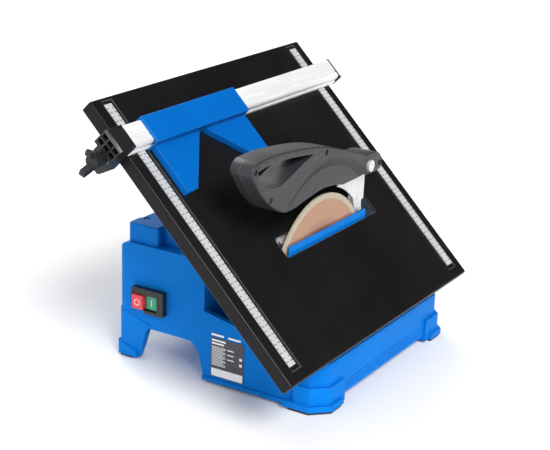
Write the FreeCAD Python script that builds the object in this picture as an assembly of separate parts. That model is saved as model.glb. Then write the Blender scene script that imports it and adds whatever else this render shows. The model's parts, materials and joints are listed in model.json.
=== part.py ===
import FreeCAD, Part
import math
import os

# Table tile cutter with a tilting table, in millimetres, +Z up.
# X and Y are measured from the middle of the tilted table, X to the right and Y to the back.
# save() moves every piece so that the origin lies on the ground under the middle of the machine.

V = FreeCAD.Vector
ORIGIN_SHIFT = V(19, 18, 0)

# Driving dimensions
BLADE_R = 90.0
BLADE_THICK = 2.2
RIM_WIDTH = 6.0
BORE_R = 11.1
BLADE_X = 32.0
SPINDLE_Z = 99.1
SPINDLE_R = 6.0

TILT = 45.0
TABLE_W = 330.0
TABLE_L = 380.0
TABLE_SHEET = 2.0
TABLE_SKIRT = 13.4
TABLE_MID_Z = 184.0
PIVOT_U = 210.3
PIVOT_DEPTH = 10.0
PIVOT_R = 3.0
PIVOT_X = 24.93
PIVOT_Z = 144.93
GROOVE_DEPTH = 1.0
SLOT_U = (198.0, 221.5)
SLOT_V = (113.5, 298.7)

LEFT = -149.0
RIGHT = 101.0
FRONT = -105.0
BACK = 160.0
BOTTOM = 3.0
WALL = 3.0
BOX_RIGHT = -40.0
BOX_FLOOR = 41.0
BOX_TOP = 132.0
HUMP_TOP = 152.4
CORNER_CUT = 15.0
TOWER_RIGHT = 14.0
TOWER_HALF = 53.0

MOTOR_R = 42.0
BEARING_R = 14.0
KNIFE_THICK = 2.0
BOLT_Y = 72.8
BOLT_Z = 206.4
GUARD_HALF = 15.0
GUARD_WALL = 2.2

FENCE_U = (39.0, 65.0)
FENCE_H = 14.0
FENCE_V = (-1.0, 386.0)
LOCK_R = 42.0
STUD_R = 3.0


# ---------------------------------------------------------------- helpers

def box(x0, x1, y0, y1, z0, z1):
    return Part.makeBox(x1 - x0, y1 - y0, z1 - z0, V(x0, y0, z0))


def rod_x(x0, x1, y, z, radius):
    return Part.makeCylinder(radius, x1 - x0, V(x0, y, z), V(1, 0, 0))


def rod_y(y0, y1, x, z, radius):
    return Part.makeCylinder(radius, y1 - y0, V(x, y0, z), V(0, 1, 0))


def rod_z(z0, z1, x, y, radius):
    return Part.makeCylinder(radius, z1 - z0, V(x, y, z0), V(0, 0, 1))


def join(shapes):
    body = shapes[0].fuse(shapes[1:])
    return body.removeSplitter()


def hexagon(across_flats):
    reach = across_flats / math.sqrt(3)
    return [(reach * math.cos(math.radians(60 * k)), reach * math.sin(math.radians(60 * k)))
            for k in range(6)]


def prism(points, axis, start, end):
    """Closed outline pulled along an axis; a third number in a point rounds that corner."""
    place = {"x": lambda a, b: V(start, a, b),
             "y": lambda a, b: V(a, start, b),
             "z": lambda a, b: V(a, b, start)}[axis]
    along = {"x": V(1, 0, 0), "y": V(0, 1, 0), "z": V(0, 0, 1)}[axis]
    corners = []
    for i, point in enumerate(points):
        here = V(point[0], point[1], 0)
        radius = point[2] if len(point) > 2 else 0
        if radius == 0:
            corners.append([here])
            continue
        before = points[i - 1]
        after = points[(i + 1) % len(points)]
        back = (V(before[0], before[1], 0) - here).normalize()
        ahead = (V(after[0], after[1], 0) - here).normalize()
        half = back.getAngle(ahead) / 2
        run = radius / math.tan(half)
        inward = (back + ahead).normalize()
        middle = here + inward * (radius / math.sin(half) - radius)
        corners.append([here + back * run, middle, here + ahead * run])
    edges = []
    for i, corner in enumerate(corners):
        if len(corner) == 3:
            edges.append(Part.Arc(*[place(p.x, p.y) for p in corner]).toShape())
        leave = corner[-1]
        reach = corners[(i + 1) % len(corners)][0]
        if leave.distanceToPoint(reach) > 1e-4:
            edges.append(Part.LineSegment(place(leave.x, leave.y), place(reach.x, reach.y)).toShape())
    face = Part.Face(Part.Wire(edges))
    return face.extrude(along * (end - start))


def arc_points(centre, radius, first, last, count):
    """Points on an arc, angles in degrees from the first axis of the outline's plane."""
    points = []
    for k in range(count):
        angle = math.radians(first + (last - first) * k / (count - 1))
        points.append((centre[0] + radius * math.cos(angle), centre[1] + radius * math.sin(angle)))
    return points


def ring_x(x0, x1, y, z, outer, inner):
    return rod_x(x0, x1, y, z, outer).cut(rod_x(x0 - 1, x1 + 1, y, z, inner))


def mirror_y(shape, middle):
    return shape.mirror(V(0, middle, 0), V(0, 1, 0))


def on_table(shape):
    """Table frame to machine frame: u across from the high edge, v back, h out of the top."""
    tilted = shape.copy()
    tilted.translate(V(-TABLE_W / 2, -TABLE_L / 2, 0))
    tilted.rotate(V(0, 0, 0), V(0, 1, 0), TILT)
    tilted.translate(V(0, 0, TABLE_MID_Z))
    return tilted


def save(name, shape):
    placed = shape.copy()
    placed.translate(ORIGIN_SHIFT)
    solids = placed.Solids
    body = solids[0] if len(solids) == 1 else Part.makeCompound(solids)
    if not body.isValid():
        print("not valid:", name)
    body.exportStep("parts/" + name + ".step")
    print(name, len(solids), round(body.Volume), [round(n, 1) for n in (
        body.BoundBox.XMin, body.BoundBox.YMin, body.BoundBox.ZMin,
        body.BoundBox.XMax, body.BoundBox.YMax, body.BoundBox.ZMax)])


# ---------------------------------------------------------------- base

MIDDLE_Y = (FRONT + BACK) / 2
LEG_TOP = 57.0
COVER_HOLES = [(-130, -81), (-130, 112), (-56, -81), (-56, 112)]
RIM_LOW_Z = 50.0
RIM_HIGH_Z = 77.5
POST_FRONT = -98.0
POST_BACK = 153.0
POST_THICK = 3.8
POST_SCREW_X = (18.0, 32.0)
POST_SCREW_Z = 35.0


def plan(inset):
    """Outline of the base seen from above, moved inwards."""
    cut = CORNER_CUT - inset * (2 - math.sqrt(2))
    left, right = LEFT + inset, RIGHT - inset
    front, back = FRONT + inset, BACK - inset
    round_left = 8 - inset
    return [(left, front, round_left), (right - cut, front), (right, front + cut),
            (right, back - cut), (right - cut, back), (left, back, round_left)]


def left_leg():
    """Corner leg that leans back to the ground, with a shoe that slopes down towards the arch."""
    face = prism([(LEFT - 1, BOTTOM), (-126, BOTTOM), (-120.8, 15.5), (-114.5, 36, 6), (-109, 41.7),
                  (-109, 45), (LEFT, LEG_TOP), (LEFT - 1, LEG_TOP - 1)], "y", FRONT - 1, FRONT + 26)
    lean = prism([(FRONT - 1, LEG_TOP), (FRONT - 1, 45), (-100, BOTTOM), (FRONT + 26, BOTTOM),
                  (FRONT + 26, LEG_TOP)], "x", LEFT - 1, -100)
    around = prism(plan(-1), "z", 0, LEG_TOP)
    inside = box(-140, -100, FRONT + 10, FRONT + 30, 0, LEG_TOP)
    leg = face.common(lean).common(around).cut(inside)
    shoe = prism([(-153.5, -103.5, 5), (-128.5, -103.5), (-128.5, -96), (-140.5, -96),
                  (-140.5, FRONT + 28), (-153.5, FRONT + 28)], "z", BOTTOM, 18)
    sloped = prism([(-154, BOTTOM), (-128, BOTTOM), (-128, 10.5), (-154, 18)], "y", FRONT, FRONT + 28)
    return [leg, shoe.common(sloped)]


def right_leg():
    block = prism([(70, -108.5), (89, -108.5), (104.5, -93), (104.5, -64), (95, -64),
                   (95, -88), (84, -99), (70, -99)], "z", BOTTOM, 27)
    shoe = prism([(60, -112.5), (91, -112.5), (108, -95.5), (108, -72), (95, -72),
                  (95, -88), (84, -99), (60, -99)], "z", BOTTOM, 9)
    return [block, shoe]


def base_housing():
    outline = [(LEFT, BOX_FLOOR), (-55.8, BOX_FLOOR, 4), (-46.5, 31, 6), (-39.5, BOTTOM), (64, BOTTOM),
               (74, 8), (RIGHT, 8), (RIGHT, RIM_LOW_Z), (BOX_RIGHT, RIM_HIGH_Z), (BOX_RIGHT, BOX_TOP, 7),
               (LEFT, BOX_TOP, 14)]
    shell = prism(outline, "y", FRONT, BACK).common(prism(plan(0), "z", 0, 160))
    motor_room = prism([(LEFT + WALL, BOX_FLOOR + WALL), (BOX_RIGHT - WALL, BOX_FLOOR + WALL),
                        (BOX_RIGHT - WALL, BOX_TOP - WALL, 4), (LEFT + WALL, BOX_TOP - WALL, 11)],
                       "y", FRONT, BACK).common(prism(plan(WALL), "z", 0, 160))
    tub_outline = [(-36.5, BOTTOM + 2.5), (64, BOTTOM + 2.5), (74, 10.5), (RIGHT, 10.5), (RIGHT, 90),
                   (BOX_RIGHT, 90), (BOX_RIGHT, 38), (-42.8, 34)]
    tub = prism(tub_outline, "y", FRONT, BACK)
    tub_low = tub.common(prism(plan(WALL), "z", 0, 160))
    rim_under = prism([(RIGHT + 1, RIM_LOW_Z - 3.2), (BOX_RIGHT, RIM_HIGH_Z - 3), (BOX_RIGHT, 0),
                       (-60, 0), (RIGHT + 1, 0)], "y", FRONT, BACK)
    tub_high = tub.common(prism(plan(7), "z", 0, 160))
    shell = shell.cut([motor_room, tub_low.common(rim_under), tub_high])
    tower = box(BOX_RIGHT - 1, TOWER_RIGHT, -TOWER_HALF, TOWER_HALF, BOX_FLOOR, BOX_TOP)
    tower_room = box(BOX_RIGHT - 5, TOWER_RIGHT - WALL, -TOWER_HALF + WALL, TOWER_HALF - WALL,
                     BOX_FLOOR + WALL, BOX_TOP - WALL)
    legs = left_leg() + right_leg()
    legs = legs + [mirror_y(leg, MIDDLE_Y) for leg in legs]
    flange = box(-40, 62, FRONT - 2.5, FRONT + 1, BOTTOM, 7)
    ribs = [box(RIGHT - 1, RIGHT + 0.8, -58, 113, z, z + 1.6) for z in (11, 15, 19)]
    body = join([shell, tower, flange] + legs + ribs)
    deck_hole = box(-132, -54, -83, 114, BOX_TOP - 10, BOX_TOP + 10)
    tower_hole = box(-60, 8, -46, 46, BOX_TOP - 10, BOX_TOP + 10)
    boss_hole = rod_x(0, 20, 0, SPINDLE_Z, 20.3)
    switch_hole = box(-128.2, -93.2, FRONT - 5, FRONT + 8, 61.2, 83)
    gland_hole = rod_y(BACK - 8, BACK + 8, -110, 80, 8)
    screw_holes = [rod_z(BOX_TOP - 8, BOX_TOP + 2, x, y, 1.6) for x, y in COVER_HOLES]
    body = body.cut([tower_room, deck_hole, tower_hole, boss_hole, switch_hole, gland_hole] + screw_holes)
    body = join([body, box(14, 36, FRONT + 2, POST_FRONT, 24, 46), box(14, 36, POST_BACK, BACK - 2, 24, 46)])
    pad_holes = [rod_y(POST_FRONT - 5, POST_BACK + 5, x, POST_SCREW_Z, 1.6) for x in POST_SCREW_X]
    vents = [box(LEFT - 1, LEFT + WALL + 1, 20 + 12 * k, 25 + 12 * k, 70, 105) for k in range(8)]
    return body.cut(vents + pad_holes)


def hump_outline(inset):
    left, nose = -138 + inset, 17 - inset
    front, back = -89 + inset, 120 - inset
    half = TOWER_HALF - 1 - inset
    return [(left, front, 6 - inset), (-48 - inset, front, 6 - inset), (-48 - inset, -half),
            (nose, -half, 5 - inset), (nose, half, 5 - inset), (-48 - inset, half),
            (-48 - inset, back, 6 - inset), (left, back, 6 - inset)]


def motor_cover():
    outer = prism(hump_outline(0), "z", BOX_TOP + 0.1, HUMP_TOP)
    rest_block = prism([(-140, -101, 5), (-101, -101, 3), (-101, -80), (-140, -80)], "z",
                       BOX_TOP + 0.1, HUMP_TOP)
    outer = join([outer, rest_block])
    top_edges = [e for e in outer.Edges
                 if abs(e.BoundBox.ZMin - HUMP_TOP) < 0.01 and abs(e.BoundBox.ZMax - HUMP_TOP) < 0.01]
    outer = outer.makeFillet(2.5, top_edges)
    room = prism(hump_outline(WALL), "z", BOX_TOP - 1, HUMP_TOP - WALL)
    bosses = [rod_z(BOX_TOP + 0.1, HUMP_TOP - 1, x, y, 4.5) for x, y in COVER_HOLES]
    body = outer.cut(room)
    body = join([body] + bosses)
    holes = [rod_z(BOX_TOP - 1, HUMP_TOP + 1, x, y, 2.1) for x, y in COVER_HOLES]
    sinks = [rod_z(HUMP_TOP - 4, HUMP_TOP + 1, x, y, 3.9) for x, y in COVER_HOLES]
    return body.cut(holes + sinks)


def cover_screws():
    screws = []
    for x, y in COVER_HOLES:
        shank = rod_z(BOX_TOP - 7, HUMP_TOP - 3.9, x, y, 1.5)
        head = rod_z(HUMP_TOP - 3.9, HUMP_TOP - 1.6, x, y, 3.5)
        cross = [box(x - 2, x + 2, y - 0.5, y + 0.5, HUMP_TOP - 2.6, HUMP_TOP),
                 box(x - 0.5, x + 0.5, y - 2, y + 2, HUMP_TOP - 2.6, HUMP_TOP)]
        screws.append(join([shank, head]).cut(cross))
    return Part.makeCompound(screws)


COVER_IN = 34.6
COVER_OUT = 52.0
COVER_TOP = 151.8


def blade_cover():
    """Thin splash wall beside the blade; it steps out to clear the arbor nut and closes both ends."""
    skin = 1.8
    side = [(COVER_IN, COVER_TOP), (COVER_IN, 132), (COVER_OUT, 126), (COVER_OUT, 5.6),
            (COVER_OUT + skin, 5.6), (COVER_OUT + skin, 127.3), (COVER_IN + skin, 133.3),
            (COVER_IN + skin, COVER_TOP)]
    front, back = -67.5, 90.0
    wall = prism(side, "y", front, back)
    closed = [(COVER_OUT + 1, 5.6), (COVER_OUT + 1, 126.6), (COVER_IN + 1, 132.6), (COVER_IN + 1, 5.6)]
    ends = [prism(closed, "y", front, front + skin), prism(closed, "y", back - skin, back)]
    foot = box(COVER_OUT + 1, 64, -60, 70, 5.6, 8)
    holes = [rod_z(4, 10, 59, y, 2.2) for y in (-45, 55)]
    return join([wall, foot] + ends).cut(holes)


def blade_cover_screws():
    return Part.makeCompound([join([rod_z(8.05, 10.5, 59, y, 3.8), rod_z(5.6, 8.1, 59, y, 1.9)])
                              for y in (-45, 55)])


def rubber_feet():
    right = prism([(66, -111), (90, -111), (106.5, -94.5), (106.5, -74), (94, -74),
                   (94, -89), (83, -100), (66, -100)], "z", 0, BOTTOM)
    left = prism([(-152, -101, 4), (-135.7, -101), (-135.7, -97), (-141, -97), (-141, FRONT + 26),
                  (-152, FRONT + 26)], "z", 0, BOTTOM)
    feet = [right, left]
    return Part.makeCompound(feet + [mirror_y(foot, MIDDLE_Y) for foot in feet])


# ---------------------------------------------------------------- switch and plate

BEZEL_FACE = FRONT - 7
STOP_X = (-125.2, -111.2)
START_X = (-110.4, -96.2)
BUTTON_Z = (64.4, 79.8)
SLEEVE_X = (-126.4, -95.0)
SLEEVE_Z = (62.6, 81.6)


def switch_housing():
    """Thick collar round the buttons, open under the stop button, with a sleeve into the base."""
    collar = box(-127.6, -87, BEZEL_FACE, FRONT, 60.4, 87)
    collar = collar.makeFillet(1.2, [e for e in collar.Edges if e.Length < 8])
    open_corner = box(-128, STOP_X[1], BEZEL_FACE - 1, FRONT - 1.2, 60, BUTTON_Z[0] - 1)
    sleeve = box(SLEEVE_X[0] - 1.4, SLEEVE_X[1] + 1.4, FRONT - 1, FRONT + 9, SLEEVE_Z[0] - 1, SLEEVE_Z[1] + 1)
    bore = box(SLEEVE_X[0], SLEEVE_X[1], BEZEL_FACE - 1, FRONT + 10, BUTTON_Z[0] - 0.8, BUTTON_Z[1] + 0.8)
    return join([collar.cut(open_corner), sleeve]).cut(bore)


def button(x_range, face):
    cap = box(x_range[0], x_range[1], face, FRONT + 4.5, BUTTON_Z[0], BUTTON_Z[1])
    rim = [e for e in cap.Edges if abs(e.BoundBox.YMax - face) < 0.01]
    return cap.makeFillet(0.8, rim)


def switch_block():
    block = box(-127, -95, FRONT + 9, FRONT + 30, 60, 84)
    blades = [box(x, x + 0.8, FRONT + 30, FRONT + 38, 65, 71) for x in (-121, -115, -107, -101)]
    return join([block] + blades)


def label_plate():
    return prism([(-30.5, 9.4, 1.5), (9.5, 9.4, 1.5), (9.5, 52.4, 1.5), (-30.5, 52.4, 1.5)],
                 "y", FRONT - 0.6, FRONT)


def cable_gland():
    body = rod_y(BACK - 8, BACK + 14, -110, 80, 7.8)
    collar = rod_y(BACK, BACK + 3, -110, 80, 11)
    nut = rod_y(BACK - 8, BACK - WALL, -110, 80, 11)
    return join([body, collar, nut]).cut(rod_y(BACK - 9, BACK + 15, -110, 80, 3.7))


# ---------------------------------------------------------------- motor and blade

def motor_front_bell():
    dome = rod_x(-32, 2, 0, SPINDLE_Z, MOTOR_R)
    boss = rod_x(-2, 24, 0, SPINDLE_Z, 20)
    room = rod_x(-33, -3, 0, SPINDLE_Z, MOTOR_R - 3)
    seat = rod_x(-4, 14, 0, SPINDLE_Z, BEARING_R)
    way = rod_x(10, 30, 0, SPINDLE_Z, SPINDLE_R + 1)
    slots = [rod_x(-6, 4, 31 * math.cos(math.radians(60 * k + 30)),
                   SPINDLE_Z + 31 * math.sin(math.radians(60 * k + 30)), 5) for k in range(6)]
    return join([dome, boss]).cut([room, seat, way] + slots)


def motor_rear_bell():
    dome = rod_x(-125, -98, 0, SPINDLE_Z, MOTOR_R)
    room = rod_x(-121, -97, 0, SPINDLE_Z, MOTOR_R - 3)
    ring = ring_x(-121.5, -113, 0, SPINDLE_Z, BEARING_R + 4, BEARING_R)
    way = rod_x(-127, -120, 0, SPINDLE_Z, SPINDLE_R + 1)
    slots = [rod_x(-127, -119, 31 * math.cos(math.radians(60 * k + 30)),
                   SPINDLE_Z + 31 * math.sin(math.radians(60 * k + 30)), 5) for k in range(6)]
    return join([dome.cut(room), ring]).cut([way] + slots)


def stator_core():
    stack = ring_x(-98, -32, 0, SPINDLE_Z, MOTOR_R, 23.3)
    slots = []
    for k in range(12):
        slot = box(-99, -31, 26, 34, -2.2, 2.2)
        slot.rotate(V(0, 0, 0), V(1, 0, 0), 30 * k)
        slot.translate(V(0, 0, SPINDLE_Z))
        slots.append(slot)
    return stack.cut(slots)


def stator_windings():
    rings = [ring_x(-112, -98.2, 0, SPINDLE_Z, 36, 26), ring_x(-31.8, -18, 0, SPINDLE_Z, 36, 26)]
    return Part.makeCompound([r.makeFillet(3, [e for e in r.Edges if e.Length > 60]) for r in rings])


def motor_saddles():
    """Saddle plates that carry the motor on the floor of the box."""
    saddles = []
    for x in (-112, -24):
        plate = box(x, x + 4, -40, 40, BOX_FLOOR + WALL, 84)
        saddles.append(plate.cut(rod_x(x - 1, x + 5, 0, SPINDLE_Z, MOTOR_R + 0.05)))
    return Part.makeCompound(saddles)


def capacitor():
    can = rod_x(-130, -86, 95, 66, 16)
    return join([can, box(-132, -130, 88, 91, 62, 68), box(-132, -130, 99, 102, 62, 68)])


def bearing(x0):
    return ring_x(x0, x0 + 8, 0, SPINDLE_Z, BEARING_R - 0.02, SPINDLE_R + 0.03)


def rotor_core():
    core = ring_x(-96, -34, 0, SPINDLE_Z, 23, SPINDLE_R)
    ends = [ring_x(-100, -96, 0, SPINDLE_Z, 22, 14), ring_x(-34, -30, 0, SPINDLE_Z, 22, 14)]
    return join([core] + ends)


def spindle():
    shaft = rod_x(-138, 24.5, 0, SPINDLE_Z, SPINDLE_R)
    nose = rod_x(24.5, 46, 0, SPINDLE_Z, 5)
    return join([shaft, nose])


def cooling_fan():
    hub = ring_x(-138, -128, 0, SPINDLE_Z, 9, SPINDLE_R)
    plate = ring_x(-129.5, -128, 0, SPINDLE_Z, 28, SPINDLE_R)
    vanes = []
    for k in range(9):
        vane = box(-138, -129, 8, 28, -0.8, 0.8)
        vane.rotate(V(0, 0, 0), V(1, 0, 0), 40 * k)
        vane.translate(V(0, 0, SPINDLE_Z))
        vanes.append(vane)
    return join([hub, plate] + vanes)


def inner_flange():
    disc = ring_x(24.5, BLADE_X - BLADE_THICK / 2, 0, SPINDLE_Z, 25, 5)
    spigot = ring_x(BLADE_X - BLADE_THICK / 2 - 1, BLADE_X + 0.6, 0, SPINDLE_Z, BORE_R - 0.05, 5)
    return join([disc, spigot])


def outer_flange():
    face = BLADE_X + BLADE_THICK / 2
    disc = ring_x(face, face + 4, 0, SPINDLE_Z, 25, 5)
    disc = disc.makeChamfer(1.2, [e for e in disc.Edges
                                  if e.Length > 100 and abs(e.BoundBox.XMax - face - 4) < 0.01])
    hub = ring_x(face + 3, face + 6, 0, SPINDLE_Z, 14, 5)
    return join([disc, hub])


def arbor_nut():
    start = BLADE_X + BLADE_THICK / 2 + 6
    nut = prism([(a, b + SPINDLE_Z) for a, b in hexagon(19)], "x", start, start + 7)
    return nut.cut(rod_x(start - 1, start + 8, 0, SPINDLE_Z, 5))


def blade_disc():
    half = BLADE_THICK / 2 - 0.25
    disc = ring_x(BLADE_X - half, BLADE_X + half, 0, SPINDLE_Z, BLADE_R - RIM_WIDTH, BORE_R)
    hub = ring_x(BLADE_X - BLADE_THICK / 2, BLADE_X + BLADE_THICK / 2, 0, SPINDLE_Z, 26, BORE_R)
    return join([disc, hub])


def blade_rim():
    half = BLADE_THICK / 2
    return ring_x(BLADE_X - half, BLADE_X + half, 0, SPINDLE_Z, BLADE_R, BLADE_R - RIM_WIDTH)


# ---------------------------------------------------------------- riving knife and guard

ARM_TOP = 152.6
KNIFE_SCREW = (74.5, 167.0)
KNIFE_LEFT = BLADE_X - KNIFE_THICK / 2
KNIFE_RIGHT = BLADE_X + KNIFE_THICK / 2


def knife_carrier():
    """Folded bracket on the tower: its top flange slopes like the table, its arm holds the knife."""
    near = TOWER_RIGHT + 3.2
    section = [(near, 122), (near + 2.5, 122), (near + 2.5, 154), (23.2, 150.9), (24.9, ARM_TOP),
               (19.6, 157.9), (near, 155.6)]
    folded = prism(section, "y", -62.5, 90)
    arm = box(20, KNIFE_LEFT, 76, 90, ARM_TOP - 2.5, ARM_TOP)
    tab = prism([(71, 163), (76, ARM_TOP - 2.5), (89, ARM_TOP - 2.5), (89, 176), (71, 176)],
                "x", KNIFE_LEFT - 2.5, KNIFE_LEFT)
    spacer = box(TOWER_RIGHT, near + 0.1, -40, 40, 122, 131)
    nose_hole = rod_x(10, 40, 0, SPINDLE_Z, 27)
    body = join([folded, arm, tab, spacer]).cut(nose_hole)
    return body.cut(rod_x(KNIFE_LEFT - 4, KNIFE_LEFT + 1, KNIFE_SCREW[0], KNIFE_SCREW[1], 2.55))


def knife_screw():
    y, z = KNIFE_SCREW
    shank = rod_x(KNIFE_LEFT - 7, KNIFE_RIGHT, y, z, 2.5)
    rivet_head = rod_x(KNIFE_RIGHT, KNIFE_RIGHT + 0.5, y, z, 2.9)
    nut = prism([(a + y, b + z) for a, b in hexagon(8)], "x", KNIFE_LEFT - 6.5, KNIFE_LEFT - 2.5)
    return join([shank, rivet_head, nut])


def riving_knife():
    edge = [(69.5, 162), (89.6, 163.5), (90.6, 189.5), (86.5, 195)]
    crown = arc_points((BOLT_Y, BOLT_Z), 12.7, 5, 140, 8)
    nose = arc_points((0, SPINDLE_Z), 96.5, 72, 46.5, 7)
    blade = prism(edge + crown + [(52, 200)] + nose, "x", KNIFE_LEFT, KNIFE_RIGHT)
    holes = [rod_x(20, 40, BOLT_Y, BOLT_Z, 4.05), rod_x(20, 40, KNIFE_SCREW[0], KNIFE_SCREW[1], 2.55)]
    return blade.cut(holes)


# Guard outline at rest, in Y and Z: a handle loop in front of a hood round the blade.
GUARD_OUTLINE = [(100.1, 198.4, 6), (100.1, 213, 7), (88, 218, 4), (67, 218, 6), (-16, 246.8, 160),
                 (-95, 260.4, 100), (-158, 256.8, 3), (-147.5, 233, 30), (-127, 207, 35),
                 (-86, 189.5, 26), (-50, 196.5, 40), (-12, 203.4, 30), (24, 195.4, 4),
                 (62.9, 196.2, 2), (69, 198.4, 2)]
HANDLE_HOLE = [(-33.5, 243.3, 2.5), (-104, 251.8, 70), (-148, 250.6, 4), (-138, 229, 6),
               (-125, 223.5, 8), (-101, 226.5, 14), (-78, 238, 40)]
RIM_HOLE = [(-25.5, 244.6, 3.5), (-104, 254.2, 70), (-151.2, 253.2, 5), (-140, 227, 7),
            (-126, 220.8, 10), (-100, 223.6, 16), (-77, 234.8, 42)]
HOOD_CENTRE = (-12.5, 110.5)
HOOD_R = 112.0
HOOD_EDGE_R = 121.5
HOOD_DEPTH = 3.2
GUARD_SCREWS = [(-151.3, 250.6), (-123.4, 216.5), (-19.7, 241.0), (96.0, 204.6)]


def outline_shift(points, inset):
    """The same corners moved towards the inside of a counter-clockwise outline."""
    moved = []
    count = len(points)
    for i in range(count):
        before, here, after = points[i - 1], points[i], points[(i + 1) % count]
        ahead = V(after[0] - here[0], after[1] - here[1], 0).normalize()
        back = V(here[0] - before[0], here[1] - before[1], 0).normalize()
        side = V(-ahead.y - back.y, ahead.x + back.x, 0).normalize()
        grow = inset / max(0.5, math.cos(back.getAngle(ahead) / 2))
        radius = max(0.5, here[2] - inset)
        moved.append((here[0] + side.x * grow, here[1] + side.y * grow, radius))
    return moved


def guard_half(side):
    """One moulded half; side is -1 for the left half and 1 for the right half."""

    def span(near, far):
        """X range between two distances from the blade's plane, on this half's side."""
        return sorted((BLADE_X + side * near, BLADE_X + side * far))

    def slab(points, near, far):
        return prism(points, "x", *span(near, far))

    def disc(y, z, radius, near, far):
        start, end = span(near, far)
        return rod_x(start, end, y, z, radius)

    skin = GUARD_HALF - GUARD_WALL
    solid = slab(GUARD_OUTLINE, 0.05, GUARD_HALF)
    hollow = slab(outline_shift(GUARD_OUTLINE, GUARD_WALL), -1, skin)
    hollow = hollow.cut(disc(HOOD_CENTRE[0], HOOD_CENTRE[1], HOOD_EDGE_R + 2,
                             skin - HOOD_DEPTH, GUARD_HALF))
    mouth = disc(0, SPINDLE_Z, 107, -1, skin - HOOD_DEPTH).cut(slab(
        [(66, 0), (140, 0), (140, 300), (66, 300)], -2, GUARD_HALF))
    mouth = mouth.cut(slab([(-140, 0), (-70, 0), (-70, 300), (-140, 300)], -2, GUARD_HALF))
    body = solid.cut([hollow, mouth])
    walls = slab(RIM_HOLE, 0.05, GUARD_HALF).common(solid)
    hub = disc(BOLT_Y, BOLT_Z, 10, 0.05, GUARD_HALF).common(solid)
    bosses = [disc(y, z, 4, 0.05, GUARD_HALF).common(solid) for y, z in GUARD_SCREWS]
    body = join([body, walls, hub] + bosses)
    start = V(BLADE_X + side * (GUARD_HALF - HOOD_DEPTH), HOOD_CENTRE[0], HOOD_CENTRE[1])
    step = Part.makeCone(HOOD_R, HOOD_EDGE_R + 1, HOOD_DEPTH + 0.35, start, V(side, 0, 0))
    slit = slab([(28, 100), (114, 100), (114, 260), (28, 260)], -1, KNIFE_THICK / 2 + 0.35)
    top_slot = slab([(67.5, 215), (69.3, 215), (69.3, 230), (67.5, 230)], -1, GUARD_HALF + 1)
    cuts = [slab(HANDLE_HOLE, -1, GUARD_HALF + 1), slit, step, top_slot,
            disc(BOLT_Y, BOLT_Z, 4.1, -1, GUARD_HALF + 1)]
    cuts += [disc(y, z, 1.65, -1, GUARD_HALF + 1 if side > 0 else 11.5) for y, z in GUARD_SCREWS]
    if side > 0:
        cuts += [disc(y, z, 3.4, GUARD_HALF - 3, GUARD_HALF + 1) for y, z in GUARD_SCREWS]
    return body.cut(cuts)


def guard_screws():
    screws = []
    for y, z in GUARD_SCREWS:
        shank = rod_x(BLADE_X - 11, BLADE_X + GUARD_HALF - 3, y, z, 1.6)
        head = rod_x(BLADE_X + GUARD_HALF - 3, BLADE_X + GUARD_HALF - 1.2, y, z, 3.2)
        screws.append(join([shank, head]))
    return Part.makeCompound(screws)


def guard_bolt():
    start = BLADE_X - GUARD_HALF - 8
    shank = rod_x(start, BLADE_X + GUARD_HALF + 0.2, BOLT_Y, BOLT_Z, 4.0)
    head = rod_x(BLADE_X + GUARD_HALF + 0.2, BLADE_X + GUARD_HALF + 3.2, BOLT_Y, BOLT_Z, 6.2)
    socket = prism([(a + BOLT_Y, b + BOLT_Z) for a, b in hexagon(5)], "x",
                   BLADE_X + GUARD_HALF + 1.2, BLADE_X + GUARD_HALF + 4)
    return join([shank, head]).cut(socket)


def guard_nut():
    start = BLADE_X - GUARD_HALF - 6.8
    nut = prism([(a + BOLT_Y, b + BOLT_Z) for a, b in hexagon(13)], "x", start, start + 6.5)
    return nut.cut(rod_x(start - 1, start + 8, BOLT_Y, BOLT_Z, 4.0))


# ---------------------------------------------------------------- table, drawn flat, then tilted

SCALE_LEFT = (14.7, 25.8)
SCALE_RIGHT = (355.0, 366.5)
GROOVE_LEFT = (14.0, 30.0)
GROOVE_RIGHT = (350.5, 367.2)
SCALE_U = (8.0, 313.0)
GROOVE_U = (4.0, 318.0)


def table_top():
    block = box(0, TABLE_W, 0, TABLE_L, -TABLE_SKIRT, 0)
    upright = [e for e in block.Edges if abs(e.BoundBox.ZLength - TABLE_SKIRT) < 0.01]
    block = block.makeFillet(2.5, upright)
    rim = [e for e in block.Edges
           if abs(e.BoundBox.ZMin) < 0.01 and abs(e.BoundBox.ZMax) < 0.01]
    block = block.makeFillet(2.2, rim)
    room = box(1.5, TABLE_W - 1.5, 1.5, TABLE_L - 1.5, -TABLE_SKIRT - 1, -TABLE_SHEET)
    slot = prism([(SLOT_U[0], SLOT_V[0], 2), (SLOT_U[1], SLOT_V[0], 2), (SLOT_U[1], SLOT_V[1], 2),
                  (SLOT_U[0], SLOT_V[1], 2)], "z", -5, 5)
    grooves = [box(GROOVE_U[0], GROOVE_U[1], v[0], v[1], -GROOVE_DEPTH, 1)
               for v in (GROOVE_LEFT, GROOVE_RIGHT)]
    return on_table(block.cut([room, slot] + grooves))


def table_ribs():
    """Folded channels welded under the sheet."""
    ribs = []
    for u in (24.0, 290.0):
        channel = box(u - 12, u + 12, 20, TABLE_L - 20, -TABLE_SHEET - 9, -TABLE_SHEET)
        ribs.append(channel.cut(box(u - 10.5, u + 10.5, 10, TABLE_L, -TABLE_SHEET - 7.5, 5)))
    return on_table(Part.makeCompound(ribs))


def scale_strip(v_range):
    return on_table(box(SCALE_U[0], SCALE_U[1], v_range[0], v_range[1], -GROOVE_DEPTH, -0.1))


QUADRANT_R = 53.0
FRONT_QUAD_V = TABLE_L / 2 - 104.6
REAR_QUAD_V = TABLE_L / 2 + 154.2


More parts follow.
